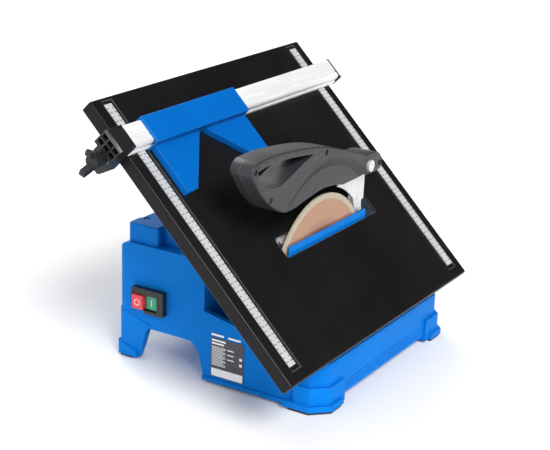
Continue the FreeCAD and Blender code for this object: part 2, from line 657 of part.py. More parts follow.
def quadrant(v0):
    """Bracket under the table with the pivot hole and the arc slot of the tilt lock."""
    centre = (PIVOT_U, -PIVOT_DEPTH)
    sweep = arc_points(centre, QUADRANT_R, -112, -22, 16)
    plate = prism([(PIVOT_U - 22, -TABLE_SHEET)] + sweep + [(PIVOT_U + 52, -TABLE_SHEET)],
                  "y", v0, v0 + 3)
    flange_start = v0 - 11 if v0 < TABLE_L / 2 else v0 + 1
    flange = box(PIVOT_U - 22, PIVOT_U + 52, flange_start, flange_start + 13, -TABLE_SHEET - 2, -TABLE_SHEET)
    wide = STUD_R + 0.5
    arc = prism(arc_points(centre, LOCK_R + wide, -97, -38, 14) +
                arc_points(centre, LOCK_R - wide, -38, -97, 14), "y", v0 - 1, v0 + 4)
    pin = rod_y(v0 - 1, v0 + 4, centre[0], centre[1], PIVOT_R + 0.05)
    return on_table(join([plate, flange]).cut([arc, pin]))


def hinge_post(y0):
    """Upright plate inside the tub wall, with the pivot hole at its head."""
    head = arc_points((PIVOT_X, PIVOT_Z), 7.5, -20, 200, 14)
    plate = prism([(10, 12)] + [(40, 12), (40, 60), (37, 100)] + head + [(12, 100), (10, 60)],
                  "y", y0, y0 + POST_THICK)
    holes = [rod_y(y0 - 1, y0 + 5, x, POST_SCREW_Z, 2.1) for x in POST_SCREW_X]
    pivot = rod_y(y0 - 1, y0 + 5, PIVOT_X, PIVOT_Z, PIVOT_R)
    stud = rod_y(y0 - 1, y0 + 5, PIVOT_X, PIVOT_Z - LOCK_R, STUD_R)
    return plate.cut(holes + [pivot, stud])


def post_screws():
    screws = []
    for x in POST_SCREW_X:
        inner = POST_FRONT + POST_THICK
        screws.append(join([rod_y(POST_FRONT - 4, inner, x, POST_SCREW_Z, 1.5),
                            rod_y(inner, inner + 2.2, x, POST_SCREW_Z, 3.6)]))
        inner = POST_BACK - POST_THICK
        screws.append(join([rod_y(inner, POST_BACK + 4, x, POST_SCREW_Z, 1.5),
                            rod_y(inner - 2.2, inner, x, POST_SCREW_Z, 3.6)]))
    return Part.makeCompound(screws)


def pivot_bolt(head, nut):
    """Shoulder bolt through the bracket and the post; head and nut are their Y ranges."""
    ends = head + nut
    shank = rod_y(min(ends), max(ends), PIVOT_X, PIVOT_Z, PIVOT_R)
    caps = [prism([(a + PIVOT_X, b + PIVOT_Z) for a, b in hexagon(10)], "y", *ends_of)
            for ends_of in (head, nut)]
    return join([shank] + caps)


def lock_stud(y0, y1):
    return rod_y(y0, y1, PIVOT_X, PIVOT_Z - LOCK_R, STUD_R)


def lock_knob(y_face, way):
    """Lobed hand knob with its threaded blind hole; way is the direction from the table out."""
    z = PIVOT_Z - LOCK_R
    hub = rod_y(min(y_face, y_face + way * 14), max(y_face, y_face + way * 14), PIVOT_X, z, 11)
    lobes = [rod_y(min(y_face + way * 3, y_face + way * 14), max(y_face + way * 3, y_face + way * 14),
                   PIVOT_X + 10 * math.cos(math.radians(60 * k)),
                   z + 10 * math.sin(math.radians(60 * k)), 5) for k in range(6)]
    bore_end = y_face + way * 12
    bore = rod_y(min(y_face - way, bore_end), max(y_face - way, bore_end), PIVOT_X, z, STUD_R + 0.03)
    return join([hub] + lobes).cut(bore)


def lock_washers():
    z = PIVOT_Z - LOCK_R
    rings = []
    for y0 in (-106.6, 157.5):
        rings.append(rod_y(y0, y0 + 1.5, PIVOT_X, z, 9).cut(rod_y(y0 - 1, y0 + 3, PIVOT_X, z, STUD_R)))
    return Part.makeCompound(rings)


# ---------------------------------------------------------------- fence, clamp and angle guide

FENCE_GAP = 0.3
SCREW_U = 54.0
SCREW_H = -10.5


def fence_profile():
    u0, u1 = FENCE_U
    outline = [(u0, FENCE_GAP), (u1, FENCE_GAP), (u1, 4.5), (u1 - 1.6, 6.0), (u1 - 1.6, 11.0),
               (u1 - 3.4, FENCE_H), (u0 + 1.2, FENCE_H), (u0, FENCE_H - 1.2)]
    bar = prism(outline, "y", FENCE_V[0], FENCE_V[1])
    room_one = box(u0 + 1.8, 53.5, FENCE_V[0] - 1, FENCE_V[1] + 1, 2.1, FENCE_H - 2.2)
    room_two = box(55.0, u1 - 4.4, FENCE_V[0] - 1, FENCE_V[1] + 1, 2.1, FENCE_H - 3.2)
    groove = box(55.0, 56.2, FENCE_V[0] - 1, FENCE_V[1] + 1, FENCE_H - 1.0, FENCE_H + 1)
    return on_table(bar.cut([room_one, room_two, groove]))


def fence_end_cap():
    u0, u1 = FENCE_U
    plate = box(u0 - 0.4, u1 + 0.4, FENCE_V[1], FENCE_V[1] + 3, FENCE_GAP, FENCE_H + 0.4)
    plate = plate.makeFillet(1.2, [e for e in plate.Edges if abs(e.BoundBox.YMin - FENCE_V[1] - 3) < 0.01])
    plug = box(u0 + 2.0, 53.3, FENCE_V[1] - 8, FENCE_V[1] + 1, 2.3, FENCE_H - 2.4)
    return on_table(join([plate, plug]))


def clamp_bracket():
    """Moulded end bracket: ribbed head on the fence, hook under the front edge of the table."""
    u0, u1 = FENCE_U[0] - 0.3, FENCE_U[1] - 0.5
    head = prism([(-25, -3), (-25, FENCE_H - 1, 2), (-22, FENCE_H + 1.5), (FENCE_V[0], FENCE_H + 1.5),
                  (FENCE_V[0], -3)], "x", u0, u1)
    pockets = []
    for row in range(2):
        for column in range(3):
            start = u0 + 2 + column * 8.2
            floor = 0.5 + row * 7.0
            pockets.append(box(start, start + 6.2, -26, -16, floor, floor + 5.4))
    dome = prism([(u0 + 3, -2), (u1, -2), (u1, -22, 8), (u1 - 3, -29, 4), (u0 + 9, -29, 8),
                  (u0 + 3, -16, 6)], "y", -18, FENCE_V[0])
    arm = box(u0 + 8, u1 - 4, -6, 9, -29, -24)
    hook = box(u0 + 8, u1 - 4, 4.5, 9, -29, -5)
    plug = box(FENCE_U[0] + 2.0, 53.3, FENCE_V[0] - 1, 9, 2.3, FENCE_H - 2.4)
    body = join([head, dome, arm, hook, plug]).cut(pockets)
    room = box(SCREW_U - 8.5, SCREW_U + 8.5, -8, 0.5, SCREW_H - 8.5, SCREW_H + 7.5)
    way = rod_y(-40, -7, SCREW_U, SCREW_H, STUD_R + 0.05)
    return on_table(body.cut([room, way]))


def clamp_jaw():
    """Steel pressure pad between the screw and the table's front edge."""
    pad = box(SCREW_U - 8, SCREW_U + 8, -2.6, -0.1, SCREW_H - 8, SCREW_H + 7)
    return on_table(pad)


def clamp_screw():
    return on_table(rod_y(-34, -3.2, SCREW_U, SCREW_H, STUD_R))


def clamp_washer():
    return on_table(rod_y(-19.6, -18.1, SCREW_U, SCREW_H, 7).cut(
        rod_y(-21, -17, SCREW_U, SCREW_H, STUD_R + 0.2)))


def wing_knob():
    hub = rod_y(-36, -19.8, SCREW_U, SCREW_H, 7)
    wing = prism([(SCREW_U - 15, -46, 2), (SCREW_U - 8, -46, 2), (SCREW_U - 3, -35),
                  (SCREW_U + 3, -35), (SCREW_U + 8, -46, 2), (SCREW_U + 15, -46, 2),
                  (SCREW_U + 6.8, -26), (SCREW_U - 6.8, -26)], "z", SCREW_H - 3, SCREW_H + 3)
    wing.rotate(V(SCREW_U, 0, SCREW_H), V(0, 1, 0), 65)
    return on_table(join([hub, wing]).cut(rod_y(-34.2, -18, SCREW_U, SCREW_H, STUD_R)))


GUIDE_TOP = 17.0
ARM_THICK = 8.0


def angle_guide():
    """Slider that rides on the fence, with two arms that form a right angle for the tile."""
    slider = box(36.9, 67.2, 29, 189, 0.4, GUIDE_TOP)
    slider = slider.makeFillet(1.5, [e for e in slider.Edges
                                     if abs(e.BoundBox.ZMin - GUIDE_TOP) < 0.01])
    channel = box(FENCE_U[0] - 0.3, FENCE_U[1] + 0.3, 28, 190, 0, FENCE_H + 0.3)
    front_arm = prism([(67, 33.5), (122, 33.5), (122, 50), (67, 107)], "z", 0.4, ARM_THICK)
    rear_arm = prism([(67, 189), (112, 189), (122, 172), (67, 118)], "z", 0.4, ARM_THICK)
    return on_table(join([slider.cut(channel), front_arm, rear_arm]))


# ---------------------------------------------------------------- make every piece

def main():
    os.makedirs("parts", exist_ok=True)
    pieces = {
        "base_housing": base_housing(),
        "motor_cover": motor_cover(),
        "cover_screws": cover_screws(),
        "blade_cover": blade_cover(),
        "blade_cover_screws": blade_cover_screws(),
        "rubber_feet": rubber_feet(),
        "switch_housing": switch_housing(),
        "stop_button": button(STOP_X, FRONT - 9.5),
        "start_button": button(START_X, FRONT - 4),
        "switch_block": switch_block(),
        "rating_plate": label_plate(),
        "cable_gland": cable_gland(),
        "motor_front_bell": motor_front_bell(),
        "motor_rear_bell": motor_rear_bell(),
        "stator_core": stator_core(),
        "stator_windings": stator_windings(),
        "motor_saddles": motor_saddles(),
        "capacitor": capacitor(),
        "front_bearing": bearing(2),
        "rear_bearing": bearing(-121),
        "rotor_core": rotor_core(),
        "spindle": spindle(),
        "cooling_fan": cooling_fan(),
        "inner_flange": inner_flange(),
        "outer_flange": outer_flange(),
        "arbor_nut": arbor_nut(),
        "blade_disc": blade_disc(),
        "blade_rim": blade_rim(),
        "knife_carrier": knife_carrier(),
        "knife_screw": knife_screw(),
        "riving_knife": riving_knife(),
        "guard_left": guard_half(-1),
        "guard_right": guard_half(1),
        "guard_screws": guard_screws(),
        "guard_bolt": guard_bolt(),
        "guard_nut": guard_nut(),
        "table_top": table_top(),
        "table_ribs": table_ribs(),
        "left_scale": scale_strip(SCALE_LEFT),
        "right_scale": scale_strip(SCALE_RIGHT),
        "front_quadrant": quadrant(FRONT_QUAD_V),
        "rear_quadrant": quadrant(REAR_QUAD_V),
        "front_hinge_post": hinge_post(POST_FRONT),
        "rear_hinge_post": hinge_post(POST_BACK - POST_THICK),
        "post_screws": post_screws(),
        "front_pivot_bolt": pivot_bolt((-109.0, -104.7), (-94.2, -89.9)),
        "rear_pivot_bolt": pivot_bolt((157.3, 161.6), (144.9, 149.2)),
        "front_lock_stud": lock_stud(-119, -92.2),
        "rear_lock_stud": lock_stud(147.5, 171),
        "front_lock_knob": lock_knob(-107.2, -1),
        "rear_lock_knob": lock_knob(159.6, 1),
        "lock_washers": lock_washers(),
        "fence_profile": fence_profile(),
        "fence_end_cap": fence_end_cap(),
        "clamp_bracket": clamp_bracket(),
        "clamp_jaw": clamp_jaw(),
        "clamp_screw": clamp_screw(),
        "clamp_washer": clamp_washer(),
        "wing_knob": wing_knob(),
        "angle_guide": angle_guide(),
    }
    for name, shape in pieces.items():
        save(name, shape)


main()
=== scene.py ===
import json
import math

import bmesh
import bpy
from mathutils import Matrix, Vector

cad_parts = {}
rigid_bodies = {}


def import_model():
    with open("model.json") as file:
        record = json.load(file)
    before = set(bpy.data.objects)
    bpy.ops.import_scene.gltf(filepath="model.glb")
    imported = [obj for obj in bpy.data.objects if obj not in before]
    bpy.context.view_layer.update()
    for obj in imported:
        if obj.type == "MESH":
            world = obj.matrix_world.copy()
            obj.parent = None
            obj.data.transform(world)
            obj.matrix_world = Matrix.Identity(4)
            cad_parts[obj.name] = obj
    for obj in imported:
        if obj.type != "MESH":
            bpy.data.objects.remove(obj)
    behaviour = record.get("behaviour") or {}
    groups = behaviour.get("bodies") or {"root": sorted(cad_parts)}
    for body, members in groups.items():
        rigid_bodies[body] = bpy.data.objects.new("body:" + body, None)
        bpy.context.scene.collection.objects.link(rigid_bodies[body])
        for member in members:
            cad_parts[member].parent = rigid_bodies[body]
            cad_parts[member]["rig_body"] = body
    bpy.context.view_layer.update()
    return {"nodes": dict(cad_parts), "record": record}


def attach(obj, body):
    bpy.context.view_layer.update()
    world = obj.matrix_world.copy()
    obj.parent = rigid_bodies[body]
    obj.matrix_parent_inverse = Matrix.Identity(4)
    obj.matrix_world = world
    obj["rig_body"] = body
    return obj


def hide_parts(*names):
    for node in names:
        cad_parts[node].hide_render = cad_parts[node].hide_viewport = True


# Table tile cutter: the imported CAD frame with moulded, enamelled and brushed finishes.
# Everything is in metres, in the frame's own axes: +X right, +Y back, +Z up.

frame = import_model()
NODES = frame["nodes"]

MM = 0.001

# Machine frame of the drawings: X and Y from the middle of the tilted table, in millimetres.
SHIFT = Vector((19.0, 18.0, 0.0))
TABLE_W = 330.0
TABLE_L = 380.0
TABLE_MID_Z = 184.0
TILT = math.radians(45)
FRONT = -105.0
SPINDLE = (0.0, 99.1)
BOLT = (72.8, 206.4)
BLADE_X = 32.0


def at(x, y, z):
    """Machine millimetres to metres in the frame."""
    return (Vector((x, y, z)) + SHIFT) * MM


def on_table(u, v, h):
    """Table millimetres (across from the high edge, back, out of the top) to metres."""
    across = u - TABLE_W / 2
    x = across * math.cos(TILT) + h * math.sin(TILT)
    z = TABLE_MID_Z - across * math.sin(TILT) + h * math.cos(TILT)
    return at(x, v - TABLE_L / 2, z)


# ---------------------------------------------------------------- material nodes

class Nodes:
    """Short way to write one material's node tree."""

    def __init__(self, name):
        self.material = bpy.data.materials.new(name)
        self.material.use_nodes = True
        self.tree = self.material.node_tree
        self.shader = self.tree.nodes["Principled BSDF"]
        self.coords = self.node("ShaderNodeTexCoord").outputs["Object"]

    def node(self, kind, **values):
        made = self.tree.nodes.new(kind)
        for key, value in values.items():
            setattr(made, key, value)
        return made

    def link(self, source, target):
        self.tree.links.new(source, target)

    def turned(self, scale, axis_angle):
        """Object coordinates turned about Y, then scaled."""
        turn = self.node("ShaderNodeVectorRotate", rotation_type="Y_AXIS")
        turn.inputs["Angle"].default_value = axis_angle
        self.link(self.coords, turn.inputs["Vector"])
        mapping = self.node("ShaderNodeMapping")
        mapping.inputs["Scale"].default_value = scale
        self.link(turn.outputs["Vector"], mapping.inputs["Vector"])
        return mapping.outputs["Vector"]

    def noise(self, scale, detail=3.0, vector=None, rough=0.5):
        made = self.node("ShaderNodeTexNoise")
        made.inputs["Scale"].default_value = scale
        made.inputs["Detail"].default_value = detail
        made.inputs["Roughness"].default_value = rough
        self.link(vector or self.coords, made.inputs["Vector"])
        return made.outputs["Fac"]

    def spread(self, value, low, high, start=0.35, end=0.65):
        """Map a factor between start and end to the range low to high."""
        made = self.node("ShaderNodeMapRange")
        made.inputs["From Min"].default_value = start
        made.inputs["From Max"].default_value = end
        made.inputs["To Min"].default_value = low
        made.inputs["To Max"].default_value = high
        self.link(value, made.inputs["Value"])
        return made.outputs["Result"]

    def mix(self, factor, first, second):
        made = self.node("ShaderNodeMix", data_type="RGBA")
        for socket, value in ((0, factor), (6, first), (7, second)):
            if isinstance(value, tuple):
                made.inputs[socket].default_value = (*value, 1.0)
            elif isinstance(value, float):
                made.inputs[socket].default_value = value
            else:
                self.link(value, made.inputs[socket])
        return made.outputs[2]

    def maths(self, operation, first, second=0.0):
        made = self.node("ShaderNodeMath", operation=operation)
        for socket, value in ((0, first), (1, second)):
            if isinstance(value, float):
                made.inputs[socket].default_value = value
            else:
                self.link(value, made.inputs[socket])
        return made.outputs[0]

    def edges(self, radius):
        """Mask of convex and concave edges: 0 on flat faces, up to 1 in the corners."""
        bevel = self.node("ShaderNodeBevel", samples=4)
        bevel.inputs["Radius"].default_value = radius
        plain = self.node("ShaderNodeNewGeometry").outputs["Normal"]
        turn = self.node("ShaderNodeVectorMath", operation="DOT_PRODUCT")
        self.link(bevel.outputs["Normal"], turn.inputs[0])
        self.link(plain, turn.inputs[1])
        return self.spread(turn.outputs["Value"], 1.0, 0.0, 0.75, 0.99)

    def bump(self, height, strength, distance):
        made = self.node("ShaderNodeBump")
        made.inputs["Strength"].default_value = strength
        made.inputs["Distance"].default_value = distance
        self.link(height, made.inputs["Height"])
        self.link(made.outputs["Normal"], self.shader.inputs["Normal"])

    def colour(self, source):
        self.link(source, self.shader.inputs["Base Color"])

    def roughness(self, source):
        self.link(source, self.shader.inputs["Roughness"])

    def constant(self, **values):
        for key, value in values.items():
            self.shader.inputs[key.replace("_", " ")].default_value = value


def scaled(colour, factor):
    """Colour made darker or lighter, kept at or below white."""
    return tuple(min(1.0, c * factor) for c in colour)


def moulded(name, colour, rough, grain, edge, specular=0.5):
    """Moulded plastic: fine spark-eroded grain, faint flow marks and lighter edges, partly scuffs and partly
    painted highlight.

    edge holds the colour of the scuffs and painted edge highlight, and how much of it shows.
    """
    m = Nodes(name)
    flow = m.noise(14.0, 4.0)
    speck = m.noise(900.0, 2.0)
    tone = m.mix(m.spread(flow, 0.0, 1.0, 0.3, 0.7), scaled(colour, 0.93), scaled(colour, 1.06))
    # Lighter edges: a painted highlight along every edge, with scuffs breaking it up by noise.
    scuff_and_painted_highlight = m.maths("MULTIPLY", m.edges(0.0009), m.spread(m.noise(160.0, 4.0), 0.35, 1.0))
    m.colour(m.mix(m.maths("MULTIPLY", scuff_and_painted_highlight, edge[1]), tone, edge[0]))
    m.roughness(m.spread(speck, rough - 0.05, rough + 0.06))
    m.bump(m.noise(2300.0, 2.0), grain, 0.00018)
    m.constant(Specular_IOR_Level=specular)
    return m.material


def enamel(name, colour, rough):
    """Stoved gloss enamel on sheet steel: faint orange peel, dust and rubbed patches, and a painted
    highlight along the edges.
    """
    m = Nodes(name)
    cloud = m.noise(9.0, 5.0)
    dust = m.node("ShaderNodeTexVoronoi")
    dust.inputs["Scale"].default_value = 420.0
    m.link(m.coords, dust.inputs["Vector"])
    fleck = m.spread(dust.outputs["Distance"], 1.0, 0.0, 0.02, 0.09)
    fleck = m.maths("MULTIPLY", fleck, m.spread(cloud, 0.0, 0.5, 0.45, 0.75))
    tone = m.mix(m.spread(cloud, 0.0, 1.0), scaled(colour, 0.85), scaled(colour, 1.2))
    tone = m.mix(fleck, tone, (0.16, 0.15, 0.14))
    # Painted highlight: the edges are mixed towards light grey.
    m.colour(m.mix(m.maths("MULTIPLY", m.edges(0.0007), 0.8), tone, (0.42, 0.41, 0.4)))
    m.roughness(m.spread(m.noise(26.0, 4.0), rough - 0.06, rough + 0.1))
    m.bump(m.noise(420.0, 2.0), 0.08, 0.0001)
    m.constant(Specular_IOR_Level=0.18)
    return m.material


def brushed(name, colour, rough, scale, turn=0.0, edge=0.25, metallic=1.0):
    """Brushed or extruded metal with fine lines along one axis and a painted highlight along the edges."""
    m = Nodes(name)
    lines = m.noise(1.0, 3.0, m.turned(scale, turn), 0.65)
    cloud = m.noise(22.0, 4.0)
    tone = m.mix(m.spread(lines, 0.0, 1.0, 0.3, 0.7), scaled(colour, 0.86), scaled(colour, 1.08))
    tone = m.mix(m.spread(cloud, 0.0, 0.35, 0.4, 0.75), tone, scaled(colour, 0.8))
    # Painted highlight: the edges are mixed towards near white, as strongly as edge sets.
    m.colour(m.mix(m.maths("MULTIPLY", m.edges(0.0005), edge), tone, (0.95, 0.95, 0.94)))
    m.roughness(m.spread(lines, rough - 0.08, rough + 0.1, 0.25, 0.75))
    m.bump(lines, 0.12, 0.00008)
    m.constant(Metallic=metallic)
    return m.material


def plated(name, colour, rough, metallic=1.0):
    """Bright zinc plate: cloudy passivation and small pits."""
    m = Nodes(name)
    cloud = m.noise(70.0, 5.0)
    tone = m.mix(m.spread(cloud, 0.0, 1.0), scaled(colour, 0.8), colour)
    tone = m.mix(m.spread(m.noise(380.0, 3.0), 0.0, 0.4, 0.55, 0.8), tone, (0.42, 0.4, 0.34))
    m.colour(tone)
    m.roughness(m.spread(cloud, rough - 0.06, rough + 0.12))
    m.bump(m.noise(800.0, 3.0), 0.08, 0.0001)
    m.constant(Metallic=metallic)
    return m.material


def rubber(name, colour):
    """Matt rubber with dusty lighter clouds."""
    m = Nodes(name)
    m.colour(m.mix(m.spread(m.noise(60.0, 5.0), 0.0, 1.0), colour, scaled(colour, 1.9)))
    m.roughness(m.spread(m.noise(300.0), 0.7, 0.9))
    m.bump(m.noise(1400.0, 3.0), 0.3, 0.0002)
    m.constant(Specular_IOR_Level=0.3)
    return m.material


def blade_face(name, light, dark):
    """Lacquered steel disc with turning rings about the spindle, and painted shade that darkens it towards
    the spindle in patches.
    """
    m = Nodes(name)
    centre = at(BLADE_X, *SPINDLE)
    offset = m.node("ShaderNodeVectorMath", operation="SUBTRACT")
    offset.inputs[1].default_value = centre
    m.link(m.coords, offset.inputs[0])
    flat = m.node("ShaderNodeVectorMath", operation="MULTIPLY")
    flat.inputs[1].default_value = (0.0, 1.0, 1.0)
    m.link(offset.outputs["Vector"], flat.inputs[0])
    radius = m.node("ShaderNodeVectorMath", operation="LENGTH")
    m.link(flat.outputs["Vector"], radius.inputs[0])
    rings = m.node("ShaderNodeTexNoise", noise_dimensions="1D")
    rings.inputs["Scale"].default_value = 2600.0
    rings.inputs["Detail"].default_value = 2.0
    m.link(radius.outputs["Value"], rings.inputs["W"])
    tone = m.mix(m.spread(rings.outputs["Fac"], 0.0, 1.0), scaled(light, 0.93), scaled(light, 1.05))
    # Painted shade: the disc darkens from 66 mm in to 48 mm from the spindle, broken up by noise.
    painted_shade = m.spread(radius.outputs["Value"], 1.0, 0.0, 0.048, 0.066)
    painted_shade = m.maths("MULTIPLY", painted_shade, m.spread(m.noise(35.0, 4.0), 0.5, 1.0))
    m.colour(m.mix(painted_shade, tone, dark))
    m.roughness(m.spread(rings.outputs["Fac"], 0.32, 0.48))
    m.bump(rings.outputs["Fac"], 0.15, 0.00006)
    m.constant(Metallic=0.25)
    return m.material


def grit(name, colour):
    """Sintered diamond rim: metal bond with bright and dark grains."""
    m = Nodes(name)
    grains = m.node("ShaderNodeTexVoronoi")
    grains.inputs["Scale"].default_value = 1500.0
    m.link(m.coords, grains.inputs["Vector"])
    fleck = m.spread(grains.outputs["Distance"], 1.0, 0.0, 0.1, 0.5)
    m.colour(m.mix(fleck, scaled(colour, 0.78), scaled(colour, 1.12)))
    m.roughness(m.spread(m.noise(900.0), 0.45, 0.65))
    m.bump(grains.outputs["Distance"], 0.35, 0.00015)
    m.constant(Metallic=0.35)
    return m.material


BLUE = (0.0, 0.17, 0.6)
GUIDE_BLUE = (0.0, 0.12, 0.46)
GUARD_GREY = (0.034, 0.034, 0.039)
# Guard edge colour: scuffs and a painted highlight.
GREY_SCUFF_AND_HIGHLIGHT = (0.3, 0.3, 0.31)

# Stretch of the brushing lines: coarse along the grain, fine across it.
ALONG_X = (20.0, 700.0, 700.0)
ALONG_Y = (900.0, 14.0, 900.0)
ALONG_Z = (900.0, 900.0, 30.0)
ALONG_TABLE = (14.0, 900.0, 900.0)
ACROSS_STACK = (1500.0, 20.0, 20.0)

# Each moulded finish's edge pair gives the colour and strength of its lighter edges, partly scuffs and
# partly painted highlight; the edge argument of each brushed finish sets the strength of its painted edge
# highlight.
FINISH = {
    "blue_plastic": moulded("blue_plastic", BLUE, 0.5, 0.10, ((0.1, 0.36, 0.85), 0.30), 0.08),
    "blue_guide": moulded("blue_guide", GUIDE_BLUE, 0.45, 0.06, ((0.1, 0.4, 0.95), 0.5), 0.14),
    "guard_plastic": moulded("guard_plastic", GUARD_GREY, 0.36, 0.12, (GREY_SCUFF_AND_HIGHLIGHT, 0.6), 0.3),
    "black_plastic": moulded("black_plastic", (0.012, 0.012, 0.013), 0.38, 0.12, ((0.09, 0.09, 0.095), 0.6)),
    "red_plastic": moulded("red_plastic", (0.68, 0.045, 0.07), 0.3, 0.04, ((0.9, 0.3, 0.3), 0.35)),
    "green_plastic": moulded("green_plastic", (0.03, 0.34, 0.2), 0.3, 0.04, ((0.3, 0.7, 0.5), 0.35)),
    "plate_print": moulded("plate_print", (0.052, 0.055, 0.062), 0.5, 0.04, ((0.2, 0.2, 0.2), 0.3)),
    "rubber": rubber("rubber", (0.018, 0.018, 0.02)),
    "table_enamel": enamel("table_enamel", (0.0085, 0.008, 0.0085), 0.3),
    "zinc_steel": plated("zinc_steel", (0.8, 0.8, 0.79), 0.38, 0.6),
    "black_steel": plated("black_steel", (0.06, 0.06, 0.065), 0.45),
    "bearing_steel": plated("bearing_steel", (0.66, 0.66, 0.68), 0.2),
    "cast_aluminium": plated("cast_aluminium", (0.6, 0.6, 0.6), 0.5),
    "scale_aluminium": brushed("scale_aluminium", (0.62, 0.63, 0.64), 0.5, ALONG_TABLE, -TILT, 0.2, 0.25),
    "fence_aluminium": brushed("fence_aluminium", (0.86, 0.87, 0.87), 0.5, ALONG_Y, 0.0, 0.3, 0.25),
    "knife_steel": brushed("knife_steel", (0.82, 0.82, 0.84), 0.4, ALONG_Z, 0.0, 0.25, 0.6),
    "lamination_steel": brushed("lamination_steel", (0.28, 0.28, 0.3), 0.45, ACROSS_STACK),
    "copper_wire": brushed("copper_wire", (0.6, 0.24, 0.1), 0.35, ALONG_X),
    "blade_body": blade_face("blade_body", (0.46, 0.255, 0.165), (0.22, 0.08, 0.03)),
    "blade_rim": grit("blade_rim", (0.62, 0.55, 0.42)),
}

SLOT_OF = {part["node"]: part["material_slot"] for part in frame["record"]["subparts"]}


def finish_node(name):
    """Give a carried-over CAD node the material of its slot."""
    mesh = NODES[name].data
    mesh.materials.clear()
    mesh.materials.append(FINISH[SLOT_OF[name]])


# ---------------------------------------------------------------- mesh helpers

def body_name(node):
    """Body that a CAD node rides on."""
    return NODES[node]["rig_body"]


def new_piece(name, mesh, body, slot):
    """Visible piece from a mesh, on its body and in its material slot."""
    piece = bpy.data.objects.new(name, mesh)
    bpy.context.scene.collection.objects.link(piece)
    mesh.materials.clear()
    mesh.materials.append(FINISH[slot])
    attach(piece, body)
    return piece


def apply_modifiers(piece):
    """Turn the modified shape into the piece's own mesh."""
    depsgraph = bpy.context.evaluated_depsgraph_get()
    mesh = bpy.data.meshes.new_from_object(piece.evaluated_get(depsgraph))
    piece.modifiers.clear()
    piece.data = mesh


def crisp(piece, angle):
    """Smooth shading that stays sharp along edges above an angle."""
    piece.data.shade_smooth()
    piece.data.set_sharp_from_angle(angle=angle)


# Angles between faces: still one flat face, a corner to round, an edge that stays sharp.
FLAT_ANGLE = math.radians(0.6)
CORNER_ANGLE = math.radians(16)
SKIN_SHARP_ANGLE = math.radians(20)
GUARD_SHARP_ANGLE = math.radians(13)


def softened(node, width):
    """Copy of a CAD node with rounded edges, standing for it."""
    mesh = NODES[node].data.copy()
    edit = bmesh.new()
    edit.from_mesh(mesh)
    bmesh.ops.remove_doubles(edit, verts=edit.verts, dist=2e-6)
    bmesh.ops.dissolve_limit(edit, angle_limit=FLAT_ANGLE, verts=edit.verts, edges=edit.edges)
    edit.to_mesh(mesh)
    edit.free()
    if "custom_normal" in mesh.attributes:
        mesh.attributes.remove(mesh.attributes["custom_normal"])
    piece = new_piece(node + "_skin", mesh, body_name(node), SLOT_OF[node])
    bevel = piece.modifiers.new("round", "BEVEL")
    bevel.width = width * MM
    bevel.segments = 2
    bevel.limit_method = "ANGLE"
    bevel.angle_limit = CORNER_ANGLE
    bevel.use_clamp_overlap = True
    bpy.context.view_layer.update()
    apply_modifiers(piece)
    crisp(piece, SKIN_SHARP_ANGLE)
    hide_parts(node)


def smooth_loop(runs, steps=6):
    """Closed outline from Catmull-Rom runs that meet in corners."""
    outline = []
    for run in runs:
        points = [Vector(p) for p in run]
        points = [2 * points[0] - points[1]] + points + [2 * points[-1] - points[-2]]
        for p0, p1, p2, p3 in zip(points, points[1:], points[2:], points[3:]):
            for k in range(steps):
                t = k / steps
                outline.append(0.5 * (2 * p1 + (p2 - p0) * t + (2 * p0 - 5 * p1 + 4 * p2 - p3) * t * t
                                      + (3 * p1 - p0 - 3 * p2 + p3) * t ** 3))
        outline.append(points[-2])
    return outline


def plate_mesh(loops, middle, thick, bevel=0.0, offset=0.0, segments=3):
    """Plate in the YZ plane from closed loops (the first outside, the rest holes), in millimetres."""
    curve = bpy.data.curves.new("outline", "CURVE")
    curve.dimensions = "2D"
    curve.fill_mode = "BOTH"
    curve.extrude = (thick / 2 - bevel) * MM
    curve.bevel_depth = bevel * MM
    curve.bevel_resolution = segments
    curve.offset = (offset - bevel) * MM
    for loop in loops:
        spline = curve.splines.new("POLY")
        spline.points.add(len(loop) - 1)
        for point, corner in zip(spline.points, loop):
            point.co = ((corner[0] + SHIFT.y) * MM, corner[1] * MM, 0.0, 1.0)
        spline.use_cyclic_u = True
    holder = bpy.data.objects.new("outline", curve)
    bpy.context.scene.collection.objects.link(holder)
    bpy.context.view_layer.update()
    mesh = bpy.data.meshes.new_from_object(holder.evaluated_get(bpy.context.evaluated_depsgraph_get()))
    bpy.data.objects.remove(holder)
    bpy.data.curves.remove(curve)
    upright = Matrix(((0, 0, 1, (middle + SHIFT.x) * MM), (1, 0, 0, 0), (0, 1, 0, 0), (0, 0, 0, 1)))
    mesh.transform(upright)
    edit = bmesh.new()
    edit.from_mesh(mesh)
    bmesh.ops.remove_doubles(edit, verts=edit.verts, dist=1e-6)
    bmesh.ops.recalc_face_normals(edit, faces=edit.faces)
    edit.to_mesh(mesh)
    edit.free()
    return mesh


def frustum_mesh(start, end, y, z, radius_start, radius_end, sides=160):
    """Round bar or cone along X, in millimetres."""
    edit = bmesh.new()
    bmesh.ops.create_cone(edit, cap_ends=True, segments=sides, radius1=radius_start * MM,
                          radius2=radius_end * MM, depth=(end - start) * MM)
    lie = Matrix.Translation(at((start + end) / 2, y, z)) @ Matrix.Rotation(math.radians(90), 4, "Y")
    bmesh.ops.transform(edit, matrix=lie, verts=edit.verts)
    mesh = bpy.data.meshes.new("round")
    edit.to_mesh(mesh)
    edit.free()
    return mesh


def carve(piece, *meshes):
    """Take meshes out of a piece."""
    for mesh in meshes:
        tool = bpy.data.objects.new("tool", mesh)
        bpy.context.scene.collection.objects.link(tool)
        cut = piece.modifiers.new("cut", "BOOLEAN")
        cut.operation = "DIFFERENCE"
        cut.solver = "EXACT"
        cut.object = tool
        bpy.context.view_layer.update()
        apply_modifiers(piece)
        bpy.data.objects.remove(tool)


